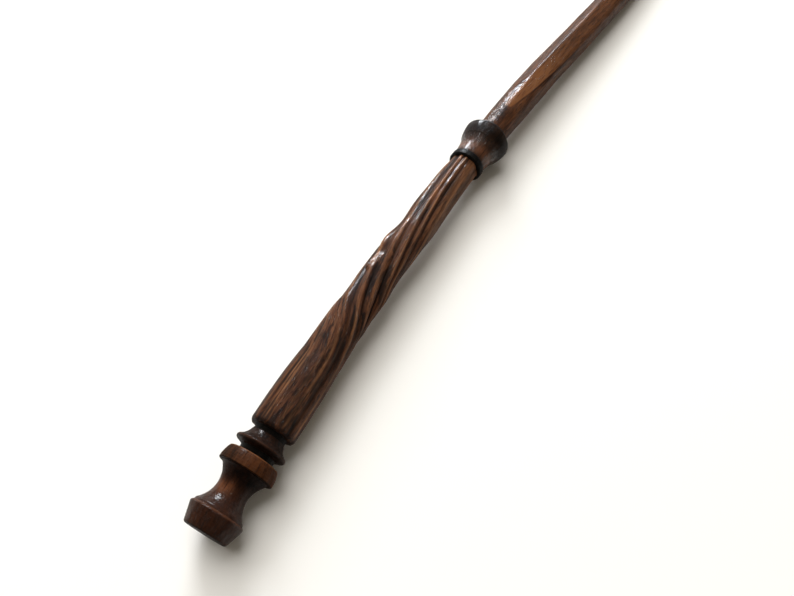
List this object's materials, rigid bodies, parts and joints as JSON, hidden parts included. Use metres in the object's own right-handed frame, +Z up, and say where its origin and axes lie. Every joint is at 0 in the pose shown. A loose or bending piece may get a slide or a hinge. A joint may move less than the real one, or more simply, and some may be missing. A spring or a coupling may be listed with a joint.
{
  "type": "magic wand",
  "caption": "Turned and hand-carved wooden wand with a knobbed pommel, twisted grooved grip, flared collar and long whittled tapering shaft.",
  "frame": {"origin": "middle of the bounding box seen from above, at the height of the table the wand lies on", "axes": "+X along the wand from the pommel towards the tip, +Z up, and the shaft bends towards -Y"},
  "size_m": [0.3532, 0.0418, 0.0158],
  "materials": {
    "pommel_wood": "gloss",
    "disc_wood": "gloss",
    "black_wood": "satin",
    "bell_wood": "gloss",
    "dowel_wood": "matte",
    "grip_wood": "gloss",
    "collar_wood": "gloss",
    "shaft_wood": "gloss"
  },
  "bodies": {
    "root": {"pommel_knob": "pommel_wood", "pommel_disc": "disc_wood", "lower_neck_ring": "black_wood", "bell_ring": "bell_wood", "upper_neck_ring": "black_wood", "pommel_dowel": "dowel_wood", "grip": "grip_wood", "collar_black_ring": "black_wood", "collar": "collar_wood", "shaft": "shaft_wood"}
  },
  "joints": []
}
